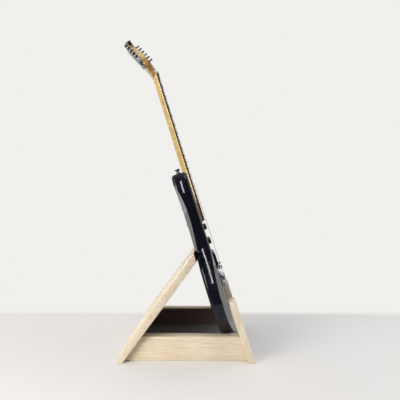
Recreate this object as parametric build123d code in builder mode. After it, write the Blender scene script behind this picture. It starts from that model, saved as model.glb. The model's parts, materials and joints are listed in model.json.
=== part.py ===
from build123d import *
import os
from math import cos, radians, sin, sqrt, tan

os.makedirs("parts", exist_ok=True)

# A six-string solid-body electric guitar leaning in a plain wooden stand.
# Frame: millimetres, +Z up, +X the way the guitar faces, -Y its bass side.
# The origin is the middle of the base panel's underside, on the floor.

# Stand
lean = 17.7                # guitar and front uprights lean back from upright, degrees
back_lean = 36.6           # back board leans forward from upright, degrees
tray_length = 312.0        # back board to uprights along the floor
tray_width = 224.0         # clear width between the rails
rail_thickness = 28.0
rail_height = 58.0
board_thickness = 18.0
stand_width = 310.0
upright_height = 146.0
foot_flat = 12.0           # part of the back board's foot that stands on the floor
panel_thickness = 4.0
panel_rabbet = 8.0         # how far the base panel runs under each rail
felt_thickness = 2.0
felt_below_rail = 3.0      # rail felt stops this far below the rail's top
upright_felt_height = 80.0
felt_margin = 3.0          # upright felt's inset from the edges of its upright
pad_thickness = 3.0        # leather pad on the back board's top
pad_drop = 18.0            # its lap down the inner face
pad_width = 220.0
stand_screw_radius = 2.0
stand_screw_head = 4.2
stand_screw_length = 50.0
stand_screw_spacing = 20.0
stand_screw_rise = 44.0    # height of each pair of screws on the outer face

# Clearances
seat_gap = 0.9             # guitar to the rails, which leaves room for the rim's own curve
felt_gap = 0.4             # guitar to the felt and pad it leans on
fit_gap = 0.1              # piece to the pocket that takes it
shaft_gap = 0.05           # turning shaft to its bore, on the radius
bed_gap = 0.02             # fret crown to the fretboard

# Guitar body, across (v), up the neck (u) and out of the front (w)
body_thickness = 43.0
edge_radius = 9.0
bottom_radius = 190.0      # round of the body's bottom end
bottom_half_width = 118.0  # where that round meets the sides
belly_radius = 480.0
belly_height = 330.0       # u of the belly cut's middle
belly_depth = 14.0         # at the rim
belly_rim = -125.0
belly_slope = 11.3         # degrees
forearm_start = (-60.0, 35.0)
forearm_end = (-112.0, 240.0)
forearm_slope = 10.4       # degrees

# Neck and head
scale_length = 648.0
saddle_height = 155.0      # u of the line where the strings leave the saddles
fret_count = 22
board_end = 331.0          # u of the fretboard's body end
heel_end = 328.0
heel_top = 388.0
pocket_depth = 16.0
neck_top = 3.5             # w of the face that carries the fretboard
nut_width = 42.0
board_end_width = 56.0
neck_depth_nut = 14.0
neck_depth_heel = 16.5
fretboard_thickness = 6.0
board_radius = 305.0       # crown of the fretboard across
nut_thickness = 5.0
nut_height = 8.6
fret_width = 2.4
fret_height = 1.1
fret_inset = 0.4
tang_thickness = 0.6
tang_depth = 1.5
tang_inset = 1.5
dot_radius = 3.0
dot_depth = 1.5
dot_sink = 0.02
double_dot_offset = 10.0
rod_radius = 3.0
rod_end_margin = 14.0
head_angle = 18.5
head_thickness = 14.0
veneer_thickness = 1.0
plate_size = (51.0, 64.0)
plate_thickness = 2.0
plate_height = 358.0
neck_screw_radius = 2.1
neck_screw_head = 4.2
neck_screw_length = 41.0
neck_screw_spacing = (38.0, 50.0)

# Tuners, in the plane of the head
tuner_first = (-24.0, 38.0)
tuner_step = (10.0, 17.5)
post_radius = 3.0
post_height = 15.0         # above the head's face
post_waist = 2.5
bushing_radius = 4.4
flange_radius = 6.0
flange_height = 1.8
housing_row = 19.0
housing_across = 17.0
housing_depth = 11.0
housing_wall = 1.5
housing_shift = 1.5
gear_radius = 4.0
gear_thickness = 3.0
gear_middle = -5.5         # behind the head's back face
worm_radius = 2.0
worm_length = 8.0
tuner_shaft_radius = 1.5
shaft_inner_end = -6.2
button_start = 15.0        # from the post's axis
button_length = 13.0
button_width = 15.0
button_thickness = 6.5
button_round = 1.8
collar_radius = 2.6
collar_length = 3.0

# Strings
string_radii = (0.58, 0.46, 0.33, 0.22, 0.165, 0.13)
saddle_spacing = 10.5
nut_spacing = 7.0
string_over_board = 1.9    # string middle over the fretboard at the nut
string_at_saddle = 13.4    # w of the string middle over the saddles
string_anchor = 11.0       # w of the string where it leaves the bridge's rear wall
string_at_post = 5.0       # above the head's wood
post_side_gap = 0.3
string_hole_gap = 0.7      # string to its hole in the bridge's rear wall, on the radius
nut_slot_gap = 0.15        # string to the floor of its slot in the nut
string_bend = 6.0

# Bridge
bridge_width = 84.0
bridge_front = 176.0       # u of the plate's neck end
bridge_rear = 134.0
bridge_plate_thickness = 3.0
bridge_wall = 2.5
bridge_wall_height = 14.0
saddle_width = 10.2
saddle_length = 20.0
saddle_floor = 4.0
saddle_peak = 12.8
saddle_rear_top = 10.6
saddle_front_top = 9.6
height_screw_radius = 1.1
height_screw_top = 9.0
height_screw_offset = 3.2
height_screw_forward = 5.0
intonation_radius = 1.4
intonation_head = 2.6
intonation_head_height = 2.0
intonation_level = 7.3
intonation_end = 148.0
bridge_screw_radius = 1.7
bridge_screw_head = 3.4
bridge_screw_length = 22.0
bridge_screw_inset = 4.5

# Pickups
neck_pickup_height = 313.0
middle_pickup_height = 270.0
bridge_pickup_height = 213.0
coil_width = 82.0
coil_length = 17.5
coil_base = (93.0, 19.5)
coil_base_thickness = 2.0
pickup_top = 8.0
single_route_depth = 20.0
humbucker_size = (69.0, 38.0)
humbucker_base = 18.0      # depth of the humbucker below the front
humbucker_route_depth = 22.0
humbucker_groove = 1.2
groove_depth = 6.0
ring_size = (92.0, 47.0)
ring_height = 5.0
ring_corner = 4.0
ring_screw_inset = 4.5
pole_radius = 2.4
pole_depth = 6.0
pole_proud = 0.6
route_gap = 0.75

# Controls
cavity_middle = (80.0, 158.0)
cavity_size = (76.0, 100.0)
cavity_corner = 14.0
top_wall = 6.0             # wood left over the control cavity
cover_lip = 6.0
cover_thickness = 2.0
volume_place = (58.0, 176.0)
tone_place = (80.0, 140.0)
pot_radius = 8.5
pot_depth = 9.0
bush_radius = 3.7
bush_height = 4.0          # above the front face
nut_ring_radius = 6.0
nut_ring_height = 2.0
shaft_radius = 3.0
shaft_top = 14.0
knob_radius = 9.5
knob_top_radius = 8.6
knob_height = 16.0
knob_gap = 1.0             # knob's skirt to the front face
knob_recess_radius = 6.8
knob_recess_height = 5.0
lever_place = (104.0, 180.0)
lever_pivot = -14.0        # w of the lever's pin
lever_width = 4.0
lever_thickness = 1.4
lever_top = 10.0
lever_travel = 16.0        # degrees each way
tip_radius = 3.6
tip_height = 10.0
lever_pin_radius = 1.0
switch_length = 44.0
switch_width = 12.0
switch_depth = 22.0
slot_gap = 0.5
switch_screw_spacing = 36.0
small_screw_radius = 1.3
small_screw_head = 2.5
small_screw_head_height = 1.4
small_screw_length = 8.0
jack_share = 0.122         # place along the rim, from the bottom round the treble side
jack_plate_radius = 11.0
jack_plate_thickness = 2.0
jack_plate_proud = 0.6
jack_bush_radius = 4.7
jack_bush_proud = 4.5
jack_bore_radius = 3.2
jack_bore_depth = 20.0
jack_body_radius = 8.0
jack_body_length = 22.0
jack_hole_depth = 34.0

# Strap buttons
horn_button_share = 0.581  # place along the rim
strap_base_radius = 7.0
strap_waist_radius = 4.2
strap_rim_radius = 7.4
strap_length = 13.0
strap_recess = 1.4
strap_screw_radius = 2.0
strap_screw_head = 3.6
strap_screw_length = 34.0


def meeting(point, direction, other, other_direction):
    """Where two lines of the side view cross."""
    cross = direction[0] * other_direction[1] - direction[1] * other_direction[0]
    gap = (other[0] - point[0], other[1] - point[1])
    share = (gap[0] * other_direction[1] - gap[1] * other_direction[0]) / cross
    return (point[0] + share * direction[0], point[1] + share * direction[1])


def moved(point, direction, amount):
    return (point[0] + direction[0] * amount, point[1] + direction[1] * amount)


# Side view directions: up the neck, out of the guitar's front, up the back board
up_neck = (-sin(radians(lean)), cos(radians(lean)))
out_front = (cos(radians(lean)), sin(radians(lean)))
up_back = (sin(radians(back_lean)), cos(radians(back_lean)))
out_back = (-cos(radians(back_lean)), sin(radians(back_lean)))

# The body's rounded back edge touches the rails' inner top edges
half_tray = tray_width / 2
touch_height = bottom_radius - sqrt(bottom_radius**2 - half_tray**2)
touch_slope = half_tray / sqrt(bottom_radius**2 - half_tray**2)
round_along = edge_radius * sqrt(1 + touch_slope**2) * up_neck[1]
round_out = edge_radius * out_front[1]
round_relief = round_along + round_out - sqrt(round_along**2 + round_out**2)
guitar_z = (rail_height + seat_gap - touch_height * up_neck[1]
            + body_thickness * out_front[1] - round_relief)
front_foot = (tray_length / 2, 0)
back_foot = (-tray_length / 2, 0)
front_rest = moved(front_foot, out_front, -felt_thickness - felt_gap)
guitar_foot = meeting(front_rest, up_neck, (0, guitar_z), (1, 0))

guitar = Plane(
    origin=(guitar_foot[0], 0, guitar_foot[1]),
    x_dir=(0, 1, 0),
    z_dir=(out_front[0], 0, out_front[1]),
)
front_axis = Axis(guitar.origin, guitar.z_dir)


def at(v, u, w):
    """A point of the guitar: v across to the treble side, u up the neck, w out of the front."""
    return guitar.from_local_coords((v, u, w))


def section(u):
    """Plane across the neck: x is v, y is w, facing the body."""
    return Plane(origin=at(0, u, 0), x_dir=guitar.x_dir, z_dir=-guitar.y_dir)


def side(v):
    """Plane along the neck: x is u, y is w, facing the treble side."""
    return Plane(origin=at(v, 0, 0), x_dir=guitar.y_dir, z_dir=guitar.x_dir)


def spot(v, u, w):
    """Plane parallel to the front face with its origin at a point of the guitar."""
    return Plane(origin=at(v, u, w), x_dir=guitar.x_dir, z_dir=guitar.z_dir)


def finish(builder, name):
    builder.part.label = name
    export_step(builder.part, f"parts/{name}.step")


def screw(head_radius, head_height, shank_radius, length):
    """Flat-headed screw under its head: the seat is at z = 0 and the shank points down."""
    with BuildPart() as piece:
        with BuildSketch(Plane.XY):
            Circle(head_radius)
        extrude(amount=head_height)
        fillet(piece.edges().group_by(Axis.Z)[-1], head_height * 0.45)
        with BuildSketch(Plane.XY):
            Circle(shank_radius)
        extrude(amount=-length)
        slot = Plane.XY.offset(head_height)
        with BuildSketch(slot):
            Rectangle(head_radius * 1.1, shank_radius * 0.4)
            Rectangle(shank_radius * 0.4, head_radius * 1.1)
        extrude(amount=-head_height * 0.5, mode=Mode.SUBTRACT)
    return piece.part


def sunk_screw(head_radius, shank_radius, length):
    """Countersunk screw: the head's flat top is at z = 0 and the shank points down."""
    with BuildPart() as piece:
        with BuildSketch(Plane.XZ):
            with BuildLine():
                Polyline(
                    (0, 0),
                    (head_radius, 0),
                    (shank_radius, shank_radius - head_radius),
                    (shank_radius, -length),
                    (0, -length),
                    close=True,
                )
            make_face()
        revolve(axis=Axis.Z)
        with BuildSketch(Plane.XY):
            Rectangle(head_radius * 1.1, shank_radius * 0.4)
            Rectangle(shank_radius * 0.4, head_radius * 1.1)
        extrude(amount=-shank_radius * 0.8, mode=Mode.SUBTRACT)
    return piece.part


# Stand: rails
rail_profile = [
    back_foot,
    front_foot,
    meeting(front_foot, up_neck, (0, rail_height), (1, 0)),
    meeting(back_foot, up_back, (0, rail_height), (1, 0)),
]
rail_middle = half_tray + rail_thickness / 2
stand_screw = sunk_screw(stand_screw_head, stand_screw_radius, stand_screw_length)


def screw_seats(outer_foot, up_board, out_board):
    """Planes on a board's outer face where its screws go through into the rails."""
    seats = []
    for across in (-rail_middle, rail_middle):
        for shift in (-0.5, 0.5):
            height = stand_screw_rise / up_board[1] + shift * stand_screw_spacing
            place = moved(outer_foot, up_board, height)
            seats.append(Plane(
                origin=(place[0], across, place[1]),
                x_dir=(0, 1, 0),
                z_dir=(out_board[0], 0, out_board[1]),
            ))
    return seats


front_outer_foot = moved(front_foot, out_front, board_thickness)
back_outer_foot = moved(back_foot, out_back, board_thickness)
front_seats = screw_seats(front_outer_foot, up_neck, out_front)
back_seats = screw_seats(back_outer_foot, up_back, out_back)
stand_seats = front_seats + back_seats


def drill_stand():
    """Countersunk holes for the stand's screws, in the block that is open."""
    with Locations(*stand_seats):
        CounterSinkHole(
            radius=stand_screw_radius + fit_gap / 2,
            counter_sink_radius=stand_screw_head + fit_gap,
            depth=stand_screw_length + fit_gap,
            counter_sink_angle=90,
        )


for name, sign in (("stand_left_rail", -1), ("stand_right_rail", 1)):
    with BuildPart() as rail:
        with BuildSketch(Plane.XZ.offset(-sign * rail_middle)):
            with BuildLine():
                Polyline(*rail_profile, close=True)
            make_face()
        extrude(amount=rail_thickness / 2, both=True)
        with Locations((0, sign * half_tray, 0)):
            Box(tray_length * 2, panel_rabbet * 2, panel_thickness * 2, mode=Mode.SUBTRACT)
        drill_stand()
    finish(rail, name)

# Stand: back board, cut at the top to lie along the guitar's back
back_rest_offset = -body_thickness - felt_gap
pad_line = moved(guitar_foot, out_front, back_rest_offset)
bevel_line = moved(pad_line, out_front, -pad_thickness)
outer_line = moved(back_foot, out_back, board_thickness)
bevel_inner = meeting(back_foot, up_back, bevel_line, up_neck)
bevel_outer = meeting(outer_line, up_back, bevel_line, up_neck)
foot_end = (back_foot[0] - foot_flat, 0)
with BuildPart() as back_board:
    with BuildSketch(Plane.XZ):
        with BuildLine():
            Polyline(
                back_foot,
                foot_end,
                meeting(outer_line, up_back, foot_end, (0, 1)),
                bevel_outer,
                bevel_inner,
                close=True,
            )
        make_face()
    extrude(amount=stand_width / 2, both=True)
    drill_stand()
finish(back_board, "stand_back_board")

# Stand: leather pad, over the bevelled top and a little way down the inner face
lap_line = moved(back_foot, out_back, -pad_thickness)
lap_end = moved(bevel_inner, up_back, -pad_drop)
with BuildPart() as back_pad:
    with BuildSketch(Plane.XZ):
        with BuildLine():
            Polyline(
                bevel_outer,
                bevel_inner,
                lap_end,
                moved(lap_end, out_back, -pad_thickness),
                meeting(lap_line, up_back, pad_line, up_neck),
                meeting(outer_line, up_back, pad_line, up_neck),
                close=True,
            )
        make_face()
    extrude(amount=pad_width / 2, both=True)
finish(back_pad, "stand_back_pad")

# Stand: front uprights, one on the end of each rail
upright_width = stand_width / 2 - half_tray
upright_middle = half_tray + upright_width / 2
upright_top = meeting(front_foot, up_neck, (0, upright_height), (1, 0))
upright_profile = [
    front_foot,
    meeting(front_outer_foot, up_neck, (0, 0), (1, 0)),
    moved(upright_top, out_front, board_thickness),
    upright_top,
]
for name, sign in (("stand_left_upright", -1), ("stand_right_upright", 1)):
    with BuildPart() as upright:
        with BuildSketch(Plane.XZ.offset(-sign * upright_middle)):
            with BuildLine():
                Polyline(*upright_profile, close=True)
            make_face()
        extrude(amount=upright_width / 2, both=True)
        drill_stand()
    finish(upright, name)

with BuildPart() as stand_screws:
    with Locations(*stand_seats):
        add(stand_screw)
finish(stand_screws, "stand_screws")

# Stand: base panel in the rails' rabbets, and the felt that lines the tray
with BuildPart() as base_panel:
    with BuildSketch(Plane.XZ):
        with BuildLine():
            Polyline(
                back_foot,
                front_foot,
                meeting(front_foot, up_neck, (0, panel_thickness), (1, 0)),
                meeting(back_foot, up_back, (0, panel_thickness), (1, 0)),
                close=True,
            )
        make_face()
    extrude(amount=half_tray + panel_rabbet, both=True)
finish(base_panel, "stand_base_panel")

felt_floor = panel_thickness + felt_thickness
with BuildPart() as base_felt:
    with BuildSketch(Plane.XZ):
        with BuildLine():
            Polyline(
                meeting(back_foot, up_back, (0, panel_thickness), (1, 0)),
                meeting(front_foot, up_neck, (0, panel_thickness), (1, 0)),
                meeting(front_foot, up_neck, (0, felt_floor), (1, 0)),
                meeting(back_foot, up_back, (0, felt_floor), (1, 0)),
                close=True,
            )
        make_face()
    extrude(amount=half_tray, both=True)
finish(base_felt, "stand_base_felt")

felt_top = rail_height - felt_below_rail
with BuildPart() as rail_felts:
    for sign in (-1, 1):
        with BuildSketch(Plane.XZ.offset(-sign * (half_tray - felt_thickness / 2))):
            with BuildLine():
                Polyline(
                    meeting(back_foot, up_back, (0, felt_floor), (1, 0)),
                    meeting(front_foot, up_neck, (0, felt_floor), (1, 0)),
                    meeting(front_foot, up_neck, (0, felt_top), (1, 0)),
                    meeting(back_foot, up_back, (0, felt_top), (1, 0)),
                    close=True,
                )
            make_face()
        extrude(amount=felt_thickness / 2, both=True)
finish(rail_felts, "stand_rail_felts")

upright_felt_low = meeting(front_foot, up_neck, (0, rail_height + felt_margin), (1, 0))
with BuildPart() as upright_felts:
    for sign in (-1, 1):
        with BuildSketch(Plane.XZ.offset(-sign * upright_middle)):
            with BuildLine():
                felt_high = moved(upright_felt_low, up_neck, upright_felt_height)
                Polyline(
                    upright_felt_low,
                    felt_high,
                    moved(felt_high, out_front, -felt_thickness),
                    moved(upright_felt_low, out_front, -felt_thickness),
                    close=True,
                )
            make_face()
        extrude(amount=upright_width / 2 - felt_margin, both=True)
finish(upright_felts, "stand_upright_felts")

# Body outline in the plane of the front face, from the bottom round the treble side
def bottom_round(v):
    return (v, bottom_radius - sqrt(bottom_radius**2 - v**2))


bottom_points = [bottom_round(share * bottom_half_width) for share in (-1, -0.53, 0, 0.53, 1)]
with BuildLine() as outline:
    rim = Spline(
        *bottom_points[2:],
        (147, 80), (160, 128), (152, 186), (128, 240), (114, 287), (121, 335), (136, 378),
        (131, 412), (108, 428), (84, 413), (64, 388), (46, 375), (26, 379), (0, 387),
        (-26, 394), (-45, 399), (-62, 417), (-79, 447), (-97, 472), (-119, 471), (-137, 439),
        (-141, 399), (-134, 358), (-122, 312), (-120, 268), (-134, 226), (-155, 178),
        (-161, 126), (-147, 80),
        *bottom_points[:2],
        periodic=True,
    )


def rim_plane(share):
    """Plane on the middle of the body's rim, facing out, at a share of the way round."""
    place = rim @ share
    along = rim % share
    return Plane(
        origin=at(place.X, place.Y, -body_thickness / 2),
        x_dir=guitar.z_dir,
        z_dir=guitar.x_dir * along.Y - guitar.y_dir * along.X,
    )


jack_seat = rim_plane(jack_share)
strap_seats = [rim_plane(0), rim_plane(horn_button_share)]

# Belly cut: a wide scoop that deepens towards the bass rim
belly_dir = guitar.x_dir * cos(radians(belly_slope)) - guitar.z_dir * sin(radians(belly_slope))
belly_axis_depth = -body_thickness + belly_depth - belly_radius / cos(radians(belly_slope))
belly_plane = Plane(
    origin=at(belly_rim, belly_height, belly_axis_depth) - belly_dir * belly_radius,
    x_dir=guitar.y_dir,
    z_dir=belly_dir,
)

# Forearm cut: a flat slope on the bass side of the lower front
forearm_run = Vector(forearm_end[0] - forearm_start[0], forearm_end[1] - forearm_start[1]).normalized()
forearm_dir = guitar.x_dir * forearm_run.X + guitar.y_dir * forearm_run.Y
forearm_out = guitar.y_dir * forearm_run.X - guitar.x_dir * forearm_run.Y
forearm_plane = Plane(
    origin=at(forearm_start[0], forearm_start[1], 0),
    x_dir=forearm_dir,
    z_dir=guitar.z_dir * cos(radians(forearm_slope)) + forearm_out * sin(radians(forearm_slope)),
)


def neck_width(u):
    """Width of the neck, straight from the nut to the fretboard's end."""
    share = (saddle_height + scale_length - u) / (saddle_height + scale_length - board_end)
    return nut_width + (board_end_width - nut_width) * share


def neck_strip(start, end, extra):
    """Outline of the tapered neck between two heights, with extra room on each side."""
    half_start = neck_width(start) / 2 + extra
    half_end = neck_width(end) / 2 + extra
    with BuildLine() as strip:
        Polyline(
            (-half_start, start), (half_start, start), (half_end, end), (-half_end, end),
            close=True,
        )
    return strip.edges()


plate_holes = [
    (x * neck_screw_spacing[0] / 2, plate_height + y * neck_screw_spacing[1] / 2)
    for x in (-1, 1)
    for y in (-1, 1)
]
single_heights = (neck_pickup_height, middle_pickup_height)
controls = (volume_place, tone_place)
cavity_floor = -top_wall
cover_screw_places = [
    (cavity_middle[0] + x * (cavity_size[0] / 2 - cavity_corner / 2 + cover_lip),
     cavity_middle[1] + y * (cavity_size[1] / 2 - cavity_corner / 2 + cover_lip))
    for x in (-0.93, 0.93)
    for y in (-0.95, 0.95)
]
bridge_screw_places = [
    (x * (bridge_width / 2 - bridge_screw_inset), bridge_front - bridge_screw_inset)
    for x in (-1, 0, 1)
]
ring_screw_places = [
    (x * (ring_size[0] / 2 - ring_screw_inset), bridge_pickup_height + y * ring_size[1] / 2 * 0.8)
    for x in (-1, 1)
    for y in (-1, 1)
]
switch_screw_places = [
    (lever_place[0], lever_place[1] + y * switch_screw_spacing / 2) for y in (-1, 1)
]
back_face = -body_thickness
cover_seat = back_face + cover_thickness
cover_screw_sink = small_screw_head_height + fit_gap
lever_reach = (0 - lever_pivot) * tan(radians(lever_travel))
lever_slot = (lever_thickness + slot_gap * 2, lever_width * 1.1 + (lever_reach + slot_gap) * 2)

with BuildPart() as body:
    with BuildSketch(guitar):
        make_face(outline.edges())
    extrude(amount=-body_thickness)
    with BuildSketch(jack_seat):
        Circle(jack_body_radius + fit_gap * 5)
    extrude(amount=-jack_hole_depth, mode=Mode.SUBTRACT)
    with BuildSketch(jack_seat.offset(jack_plate_proud - jack_plate_thickness)):
        Circle(jack_plate_radius + fit_gap)
    extrude(amount=edge_radius, mode=Mode.SUBTRACT)
    for seat in strap_seats:
        with BuildSketch(seat):
            Circle(strap_screw_radius + shaft_gap)
        extrude(amount=-strap_screw_length, mode=Mode.SUBTRACT)
        with BuildSketch(seat.offset(-strap_recess)):
            Circle(strap_base_radius + fit_gap)
        extrude(amount=edge_radius, mode=Mode.SUBTRACT)
    fillet(body.faces().sort_by(front_axis)[-1].edges(), edge_radius)
    fillet(body.faces().sort_by(front_axis)[0].edges(), edge_radius)
    with BuildSketch(guitar.offset(edge_radius)):
        make_face(neck_strip(heel_end - fit_gap, heel_top + body_thickness, fit_gap))
    extrude(amount=-edge_radius - pocket_depth, mode=Mode.SUBTRACT)
    with BuildSketch(guitar):
        for height in single_heights:
            with Locations((0, height)):
                RectangleRounded(coil_base[0] + route_gap * 2, coil_base[1] + route_gap * 2, ring_corner)
    extrude(amount=-single_route_depth, mode=Mode.SUBTRACT)
    with BuildSketch(guitar):
        with Locations((0, bridge_pickup_height)):
            RectangleRounded(
                humbucker_size[0] + route_gap * 2, humbucker_size[1] + route_gap * 2, ring_corner
            )
    extrude(amount=-humbucker_route_depth, mode=Mode.SUBTRACT)
    with BuildSketch(guitar.offset(back_face)):
        with Locations(cavity_middle):
            RectangleRounded(*cavity_size, cavity_corner)
    extrude(amount=body_thickness - top_wall, mode=Mode.SUBTRACT)
    with BuildSketch(guitar.offset(back_face)):
        with Locations(cavity_middle):
            RectangleRounded(
                cavity_size[0] + (cover_lip + fit_gap) * 2,
                cavity_size[1] + (cover_lip + fit_gap) * 2,
                cavity_corner + cover_lip + fit_gap,
            )
    extrude(amount=cover_thickness, mode=Mode.SUBTRACT)
    with BuildSketch(guitar):
        with Locations(*controls):
            Circle(bush_radius + fit_gap)
        with Locations(lever_place):
            Rectangle(*lever_slot)
    extrude(amount=-top_wall, mode=Mode.SUBTRACT)
    with BuildSketch(guitar):
        with Locations(*plate_holes):
            Circle(neck_screw_radius + shaft_gap)
    extrude(amount=-body_thickness, mode=Mode.SUBTRACT)
    with BuildSketch(guitar):
        with Locations(*bridge_screw_places):
            Circle(bridge_screw_radius + shaft_gap)
    extrude(amount=-bridge_screw_length, mode=Mode.SUBTRACT)
    with BuildSketch(guitar):
        with Locations(*ring_screw_places, *switch_screw_places):
            Circle(small_screw_radius + shaft_gap)
    extrude(amount=-small_screw_length, mode=Mode.SUBTRACT)
    with BuildSketch(guitar.offset(cover_seat)):
        with Locations(*cover_screw_places):
            Circle(small_screw_radius + shaft_gap)
    extrude(amount=small_screw_length, mode=Mode.SUBTRACT)
    with BuildSketch(belly_plane):
        Circle(belly_radius)
    extrude(amount=belly_radius * 2, mode=Mode.SUBTRACT)
    split(bisect_by=forearm_plane, keep=Keep.BOTTOM)
finish(body, "body")

# Neck: a tapered heel, a rounded shaft and the back-angled head in one piece of wood
nut_line = saddle_height + scale_length
head_line = nut_line + nut_thickness
head = Plane(
    origin=at(0, head_line, neck_top),
    x_dir=guitar.x_dir,
    z_dir=guitar.z_dir * cos(radians(head_angle)) + guitar.y_dir * sin(radians(head_angle)),
)
row_length = sqrt(tuner_step[0]**2 + tuner_step[1]**2)
row_dir = (head.x_dir * tuner_step[0] + head.y_dir * tuner_step[1]) / row_length
tuner_places = [
    (tuner_first[0] + i * tuner_step[0], tuner_first[1] + i * tuner_step[1]) for i in range(6)
]
tuner_planes = [
    Plane(origin=head.from_local_coords((v, a, -head_thickness)), x_dir=row_dir, z_dir=head.z_dir)
    for v, a in tuner_places
]


def head_outline():
    """Softened, slanted six-in-line head, drawn from the nut outwards."""
    with BuildLine() as drawn:
        Spline(
            (-nut_width / 2, 0), (-23, 12), (-33, 29), (-31, 50), (-5, 96), (22, 143), (38, 167),
            tangents=((0, 1), (0.9, 0.42)),
        )
        Spline(
            (38, 167), (53, 167), (58, 150), (49, 112), (35, 62), (25, 24), (nut_width / 2, 0),
            tangents=((0.9, 0.42), (-0.1, -1)),
        )
        Line((nut_width / 2, 0), (-nut_width / 2, 0))
    return drawn.edges()


def shaft_outline(u, depth):
    """Section of the neck: flat on top, round behind."""
    half = neck_width(u) / 2
    with BuildLine() as drawn:
        ThreePointArc((-half, neck_top), (0, neck_top - depth), (half, neck_top))
        Line((half, neck_top), (-half, neck_top))
    return drawn.edges()


rod_start = heel_end + rod_end_margin
rod_end = nut_line - rod_end_margin
rod_middle = neck_top - rod_radius - fit_gap
with BuildPart() as neck:
    for u, depth in ((heel_top - edge_radius, neck_depth_heel), (head_line, neck_depth_nut)):
        with BuildSketch(section(u)):
            make_face(shaft_outline(u, depth))
    loft()
    with BuildSketch(guitar.offset(-pocket_depth)):
        make_face(neck_strip(heel_end, heel_top, 0))
    extrude(amount=pocket_depth + neck_top)
    with BuildSketch(head):
        make_face(head_outline())
    extrude(amount=-head_thickness)
    with BuildSketch(guitar.offset(neck_top)):
        with Locations((0, (rod_start + rod_end) / 2)):
            Rectangle((rod_radius + fit_gap) * 2, rod_end - rod_start + fit_gap * 2)
    extrude(amount=-(rod_radius + fit_gap) * 2, mode=Mode.SUBTRACT)
    with BuildSketch(head):
        with Locations(*tuner_places):
            Circle(bushing_radius + fit_gap)
    extrude(amount=-head_thickness, mode=Mode.SUBTRACT)
    with BuildSketch(guitar.offset(-pocket_depth)):
        with Locations(*plate_holes):
            Circle(neck_screw_radius + shaft_gap)
    screw_reach = neck_screw_length - plate_thickness - body_thickness + pocket_depth
    extrude(amount=screw_reach, mode=Mode.SUBTRACT)
finish(neck, "neck")

with BuildPart() as truss_rod:
    with BuildSketch(section(rod_end)):
        with Locations((0, rod_middle)):
            Circle(rod_radius)
    extrude(amount=rod_end - rod_start)
finish(truss_rod, "truss_rod")

with BuildPart() as veneer:
    with BuildSketch(head):
        make_face(head_outline())
        with Locations(*tuner_places):
            Circle(bushing_radius + fit_gap, mode=Mode.SUBTRACT)
    extrude(amount=veneer_thickness)
finish(veneer, "headstock_veneer")

# Fretboard, crowned across its width
board_top = neck_top + fretboard_thickness


def crown(v):
    """Drop of the crowned fretboard below its middle."""
    return board_radius - sqrt(board_radius**2 - v**2)


def board_outline(u):
    """Section of the fretboard: flat below, crowned on top."""
    half = neck_width(u) / 2
    edge = board_top - crown(half)
    with BuildLine() as drawn:
        ThreePointArc((-half, edge), (0, board_top), (half, edge))
        Polyline((half, edge), (half, neck_top), (-half, neck_top), (-half, edge))
    return drawn.edges()


fret_places = [nut_line - scale_length * (1 - 2 ** (-i / 12)) for i in range(1, fret_count + 1)]
dot_frets = (3, 5, 7, 9, 15, 17, 19, 21)
dot_places = [
    (0, (fret_places[i - 1] + fret_places[i - 2]) / 2) for i in dot_frets if i <= fret_count
]
octave = (fret_places[11] + fret_places[10]) / 2
dot_places += [(-double_dot_offset, octave), (double_dot_offset, octave)]

with BuildPart() as fretboard:
    for u in (board_end, nut_line):
        with BuildSketch(section(u)):
            make_face(board_outline(u))
    loft()
    for place in fret_places:
        with BuildSketch(guitar.offset(board_top - crown(neck_width(place) / 2) - tang_depth)):
            with Locations((0, place)):
                Rectangle(neck_width(place) - tang_inset * 2 + fit_gap, tang_thickness + fit_gap)
        extrude(amount=fretboard_thickness, mode=Mode.SUBTRACT)
    for v, u in dot_places:
        with BuildSketch(spot(v, u, board_top - crown(v) - dot_depth)):
            Circle(dot_radius + shaft_gap)
        extrude(amount=fretboard_thickness, mode=Mode.SUBTRACT)
finish(fretboard, "fretboard")

with BuildPart() as frets:
    for place in fret_places:
        half = neck_width(place) / 2 - fret_inset
        low = board_top - crown(half) + bed_gap
        with BuildSketch(section(place)):
            with BuildLine():
                ThreePointArc((-half, low), (0, board_top + bed_gap), (half, low))
                Line((half, low), (half - fret_height, low + fret_height))
                ThreePointArc(
                    (half - fret_height, low + fret_height),
                    (0, board_top + bed_gap + fret_height),
                    (fret_height - half, low + fret_height),
                )
                Line((fret_height - half, low + fret_height), (-half, low))
            make_face()
        extrude(amount=fret_width / 2, both=True)
        tang_low = board_top - crown(neck_width(place) / 2) - tang_depth
        with BuildSketch(guitar.offset(tang_low + fit_gap)):
            with Locations((0, place)):
                Rectangle(neck_width(place) - tang_inset * 2, tang_thickness)
        extrude(amount=tang_depth)
finish(frets, "frets")

with BuildPart() as position_dots:
    for v, u in dot_places:
        with BuildSketch(spot(v, u, board_top - crown(abs(v) + dot_radius) - dot_sink)):
            Circle(dot_radius)
        extrude(amount=-dot_depth / 2)
finish(position_dots, "position_dots")

# Strings, low to high, with the places where each one bends
string_count = len(string_radii)
string_offsets = [i - (string_count - 1) / 2 for i in range(string_count)]
nut_level = board_top + string_over_board
nut_bend = nut_line + nut_thickness * 0.3


def string_points(i):
    """Rear wall of the bridge, saddle, nut and the side of the tuner post."""
    at_saddle = string_offsets[i] * saddle_spacing
    at_nut = string_offsets[i] * nut_spacing
    post = tuner_places[i]
    beside = post[0] + post_radius + string_radii[i] + post_side_gap
    return [
        at(at_saddle, bridge_rear - bridge_wall, string_anchor),
        at(at_saddle, saddle_height, string_at_saddle),
        at(at_nut, nut_bend, nut_level - crown(at_nut)),
        head.from_local_coords((beside, post[1], string_at_post)),
    ]


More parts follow.
